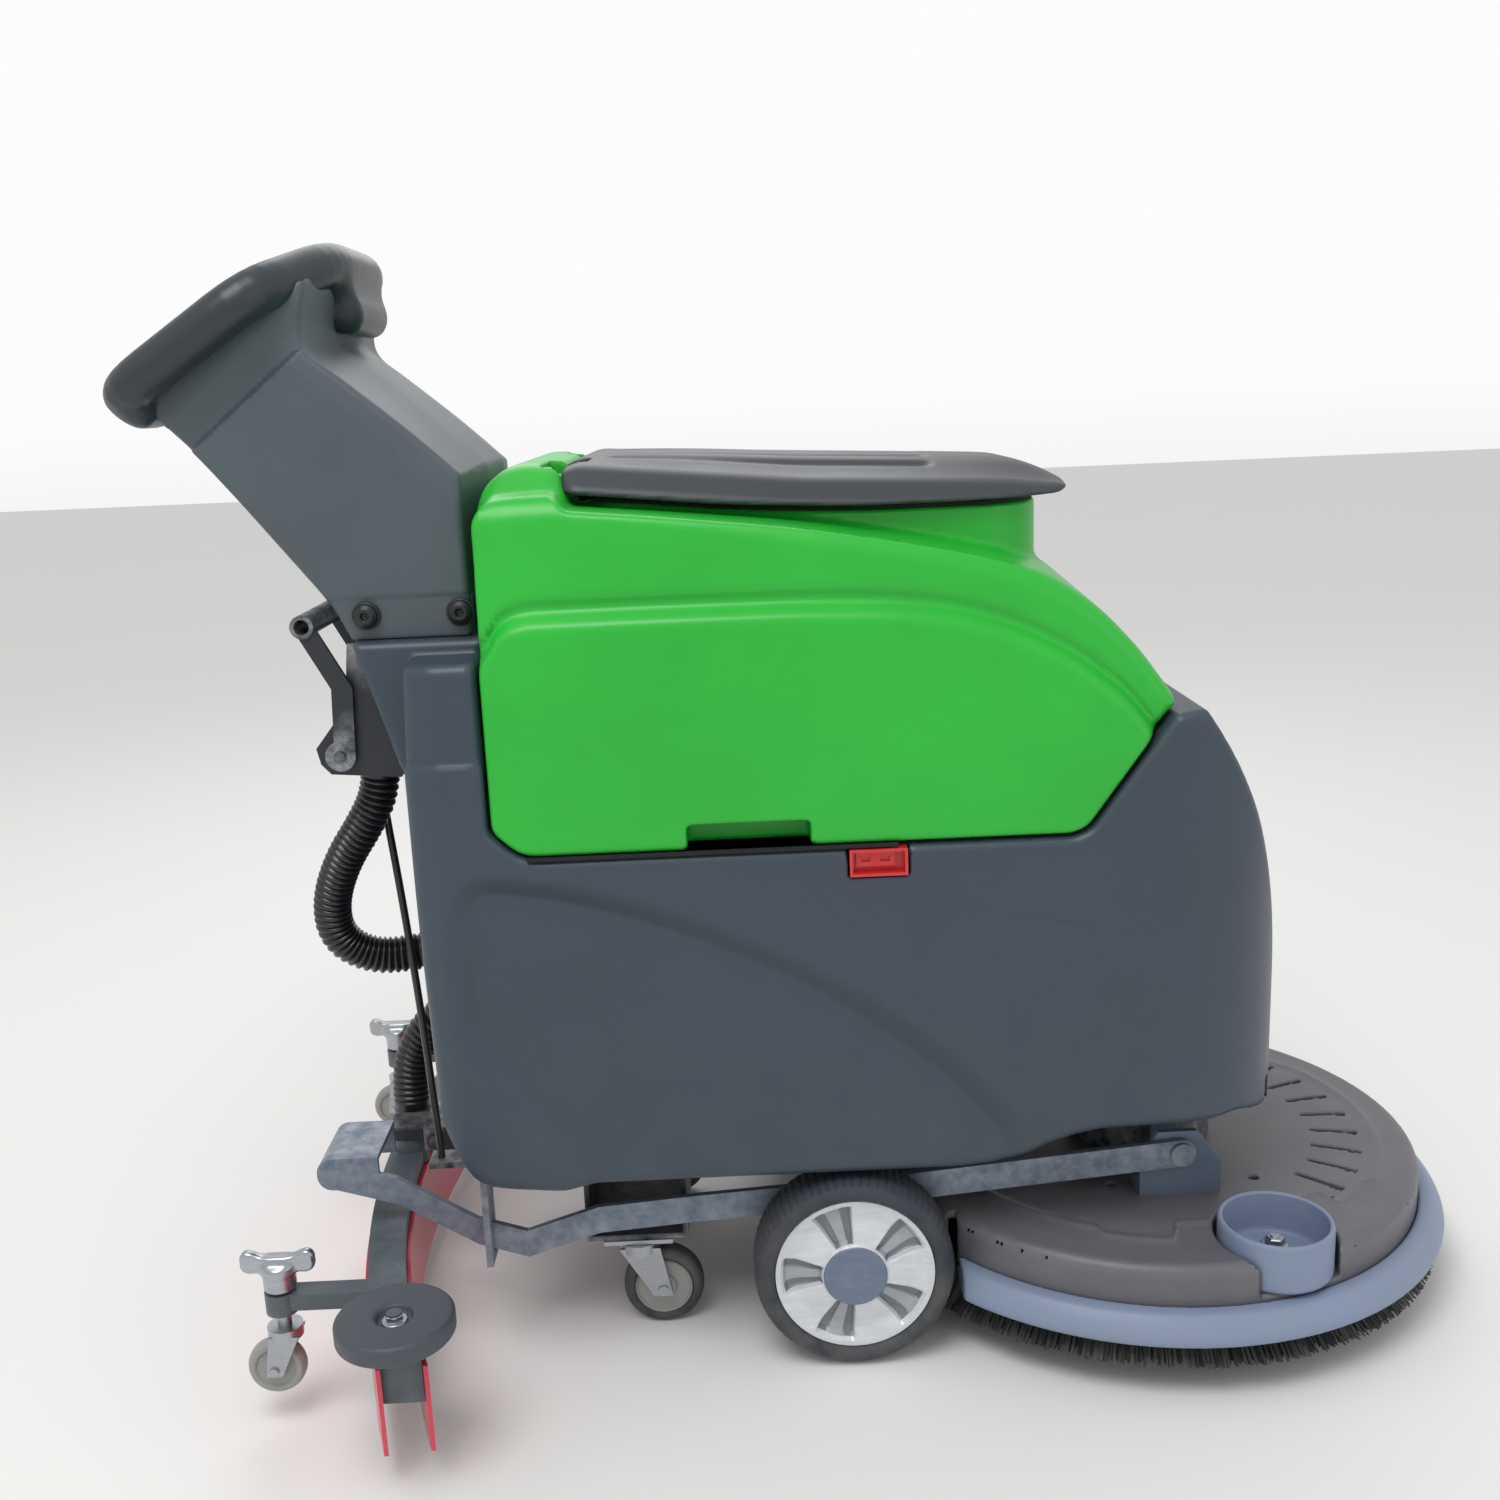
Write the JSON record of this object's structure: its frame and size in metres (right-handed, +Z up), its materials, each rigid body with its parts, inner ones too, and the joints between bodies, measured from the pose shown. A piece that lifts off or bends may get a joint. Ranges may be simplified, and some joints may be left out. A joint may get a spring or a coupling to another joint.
{
  "type": "floor scrubber machine",
  "caption": "Walk-behind floor scrubber with a tipping recovery tank, a round lifting brush deck, two drive wheels, rear casters and a lifting curved squeegee.",
  "frame": {"origin": "on the floor, under the middle of the machine's bounding box, just in front of which the drive axle lies at x = 0", "axes": "+X points forward to the brush deck, +Y to the machine's left, +Z up"},
  "size_m": [1.19, 0.757, 0.9972],
  "materials": {
    "body_slate": "textured rotomoulded plastic",
    "tank_green": "satin moulded plastic",
    "lid_dark": "satin moulded plastic",
    "column_grey": "textured moulded plastic",
    "grip_dark": "satin moulded grip",
    "panel_black": "fine texture",
    "steel_grey": "satin powder coat",
    "zinc": "bright zinc",
    "black_steel": "satin powder coat",
    "tyre_rubber": "matte",
    "hub_silver": "silver plastic",
    "caster_grey": "matte",
    "wheel_pale": "matte",
    "deck_grey": "satin moulded plastic",
    "skirt_blue": "satin moulded plastic",
    "bristle_black": "bristle",
    "blade_red": "smooth",
    "hose_black": "corrugated, glossy",
    "socket_red": "gloss",
    "gauge_glass": "clear",
    "brass_metal": "bright",
    "foam_black": "foam"
  },
  "bodies": {
    "chassis": {"body_shell": "body_slate", "seam_gasket": "foam_black", "batteries": "panel_black", "charging_socket": "socket_red", "chassis_frame": "black_steel", "guide_plate": "steel_grey", "axle": "zinc", "caster_plates": "zinc", "drain_hose": "hose_black", "lift_cable": "hose_black", "suction_hose": "hose_black", "drain_collar": "panel_black", "neck_column": "column_grey", "neck_bolts": "panel_black", "vacuum_motor": "panel_black", "handle_ring": "grip_dark", "control_panel": "panel_black", "battery_gauge": "gauge_glass", "lever_bracket": "black_steel"},
    "key": {"key_switch": "zinc"},
    "brush_button": {"brush_button": "socket_red"},
    "vacuum_button": {"vacuum_button": "tank_green"},
    "dial": {"water_dial": "panel_black"},
    "bail": {"deadman_lever": "steel_grey"},
    "wheel_right": {"tyre_right": "tyre_rubber", "rim_right": "hub_silver"},
    "wheel_left": {"tyre_left": "tyre_rubber", "rim_left": "hub_silver"},
    "fork_right": {"caster_fork_right": "zinc"},
    "fork_left": {"caster_fork_left": "zinc"},
    "caster_right": {"caster_wheel_right": "caster_grey"},
    "caster_left": {"caster_wheel_left": "caster_grey"},
    "pedal": {"pedal_arm": "steel_grey"},
    "link": {"upper_link": "steel_grey"},
    "deck": {"deck_housing": "deck_grey", "deck_skirt": "skirt_blue", "brush_motor": "black_steel", "deck_brackets": "steel_grey"},
    "brush": {"brush_plate": "panel_black", "bristles": "bristle_black"},
    "bumper": {"bumper_cup": "skirt_blue"},
    "tank": {"recovery_tank": "tank_green", "float_cage": "panel_black", "lid_pins": "zinc"},
    "lid": {"tank_lid": "lid_dark", "lid_gasket": "foam_black"},
    "lever": {"lift_lever": "black_steel"},
    "squeegee_arm": {"squeegee_arm": "black_steel"},
    "carriage": {"squeegee_carriage": "black_steel"},
    "squeegee": {"squeegee_body": "column_grey", "front_blade": "blade_red", "rear_blade": "blade_red"},
    "roller_right": {"end_roller_right": "deck_grey"},
    "roller_left": {"end_roller_left": "deck_grey"},
    "small_fork_right": {"squeegee_fork_right": "zinc"},
    "small_fork_left": {"squeegee_fork_left": "zinc"},
    "small_wheel_right": {"squeegee_wheel_right": "wheel_pale"},
    "small_wheel_left": {"squeegee_wheel_left": "wheel_pale"},
    "knob_right": {"wing_knob_right": "steel_grey"},
    "knob_left": {"wing_knob_left": "steel_grey"}
  },
  "joints": [
    {"name": "key_turn", "type": "hinge", "parent": "chassis", "child": "key", "pos_m": [-0.49543, -0.07, 0.91134], "axis": [-0.5519, 0, 0.8339], "range_deg": [0, 90]},
    {"name": "brush_button_press", "type": "slide", "parent": "chassis", "child": "brush_button", "axis": [0.5519, 0, -0.8339], "range_m": [0, 0.002], "stiffness_N_per_m": 400, "springref_m": -0.002},
    {"name": "vacuum_button_press", "type": "slide", "parent": "chassis", "child": "vacuum_button", "axis": [0.5519, 0, -0.8339], "range_m": [0, 0.002], "stiffness_N_per_m": 400, "springref_m": -0.002},
    {"name": "dial_turn", "type": "hinge", "parent": "chassis", "child": "dial", "pos_m": [-0.49376, 0.068, 0.91244], "axis": [-0.5519, 0, 0.8339], "range_deg": [0, 270]},
    {"name": "bail_squeeze", "type": "hinge", "parent": "chassis", "child": "bail", "pos_m": [-0.53215, 0, 0.87984], "axis": [0, 1, 0], "range_deg": [0, 10], "stiffness_Nm_per_rad": 1.5, "springref_deg": -11.46},
    {"name": "wheel_right_roll", "type": "hinge", "parent": "chassis", "child": "wheel_right", "pos_m": [0, -0.185, 0.09], "axis": [0, 1, 0], "continuous": true},
    {"name": "caster_right_swivel", "type": "hinge", "parent": "chassis", "child": "fork_right", "pos_m": [-0.197, -0.12, 0.08], "axis": [0, 0, 1], "continuous": true},
    {"name": "caster_right_roll", "type": "hinge", "parent": "fork_right", "child": "caster_right", "pos_m": [-0.176, -0.12, 0.038], "axis": [0, 1, 0], "continuous": true},
    {"name": "wheel_left_roll", "type": "hinge", "parent": "chassis", "child": "wheel_left", "pos_m": [0, 0.185, 0.09], "axis": [0, 1, 0], "continuous": true},
    {"name": "caster_left_swivel", "type": "hinge", "parent": "chassis", "child": "fork_left", "pos_m": [-0.197, 0.12, 0.08], "axis": [0, 0, 1], "continuous": true},
    {"name": "caster_left_roll", "type": "hinge", "parent": "fork_left", "child": "caster_left", "pos_m": [-0.176, 0.12, 0.038], "axis": [0, 1, 0], "continuous": true},
    {"name": "pedal_lift", "type": "hinge", "parent": "chassis", "child": "pedal", "pos_m": [0.02, 0, 0.138], "axis": [0, 1, 0], "range_deg": [0, 6]},
    {"name": "link_follow", "type": "hinge", "parent": "chassis", "child": "link", "pos_m": [0.02, -0.092, 0.168], "axis": [0, 1, 0], "range_deg": [0, 6]},
    {"name": "deck_level", "type": "hinge", "parent": "pedal", "child": "deck", "pos_m": [0.307, 0, 0.162], "axis": [0, 1, 0], "range_deg": [-6, 0]},
    {"name": "brush_spin", "type": "hinge", "parent": "deck", "child": "brush", "pos_m": [0.305, 0, 0.07], "axis": [0, 0, 1], "continuous": true},
    {"name": "bumper_roll", "type": "hinge", "parent": "deck", "child": "bumper", "pos_m": [0.372, -0.215, 0.1], "axis": [0, 0, 1], "continuous": true},
    {"name": "tank_tip", "type": "hinge", "parent": "chassis", "child": "tank", "pos_m": [0, 0.2185, 0.4895], "axis": [-1, 0, 0], "range_deg": [0, 70]},
    {"name": "lid_open", "type": "hinge", "parent": "tank", "child": "lid", "pos_m": [-0.222, 0, 0.79], "axis": [0, -1, 0], "range_deg": [0, 95]},
    {"name": "lever_swing", "type": "hinge", "parent": "chassis", "child": "lever", "pos_m": [-0.425, -0.088, 0.568], "axis": [0, -1, 0], "range_deg": [0, 58]},
    {"name": "squeegee_lower", "type": "hinge", "parent": "chassis", "child": "squeegee_arm", "pos_m": [-0.3, 0, 0.15], "axis": [0, -1, 0], "range_deg": [0, 17.4]},
    {"name": "carriage_level", "type": "hinge", "parent": "squeegee_arm", "child": "carriage", "pos_m": [-0.4, 0, 0.15], "axis": [0, -1, 0], "range_deg": [-17.4, 0]},
    {"name": "squeegee_swivel", "type": "hinge", "parent": "carriage", "child": "squeegee", "pos_m": [-0.431, 0, 0.12], "axis": [0, 0, 1], "range_deg": [-8, 8]},
    {"name": "roller_right_spin", "type": "hinge", "parent": "squeegee", "child": "roller_right", "pos_m": [-0.37974, -0.33, 0.14], "axis": [0, 0, 1], "continuous": true},
    {"name": "small_fork_right_swivel", "type": "hinge", "parent": "squeegee", "child": "small_fork_right", "pos_m": [-0.495, -0.25, 0.1], "axis": [0, 0, 1], "continuous": true},
    {"name": "small_wheel_right_roll", "type": "hinge", "parent": "small_fork_right", "child": "small_wheel_right", "pos_m": [-0.505, -0.25, 0.056], "axis": [0, 1, 0], "continuous": true},
    {"name": "knob_right_turn", "type": "hinge", "parent": "squeegee", "child": "knob_right", "pos_m": [-0.495, -0.25, 0.14], "axis": [0, 0, 1], "continuous": true},
    {"name": "roller_left_spin", "type": "hinge", "parent": "squeegee", "child": "roller_left", "pos_m": [-0.37974, 0.33, 0.14], "axis": [0, 0, 1], "continuous": true},
    {"name": "small_fork_left_swivel", "type": "hinge", "parent": "squeegee", "child": "small_fork_left", "pos_m": [-0.495, 0.25, 0.1], "axis": [0, 0, 1], "continuous": true},
    {"name": "small_wheel_left_roll", "type": "hinge", "parent": "small_fork_left", "child": "small_wheel_left", "pos_m": [-0.505, 0.25, 0.056], "axis": [0, 1, 0], "continuous": true},
    {"name": "knob_left_turn", "type": "hinge", "parent": "squeegee", "child": "knob_left", "pos_m": [-0.495, 0.25, 0.14], "axis": [0, 0, 1], "continuous": true}
  ],
  "couplings": [
    {"joint": "deck_level", "follows": "pedal_lift", "ratio": -1},
    {"joint": "link_follow", "follows": "pedal_lift", "ratio": 1},
    {"joint": "squeegee_lower", "follows": "lever_swing", "ratio": 0.3},
    {"joint": "carriage_level", "follows": "lever_swing", "ratio": -0.3}
  ]
}
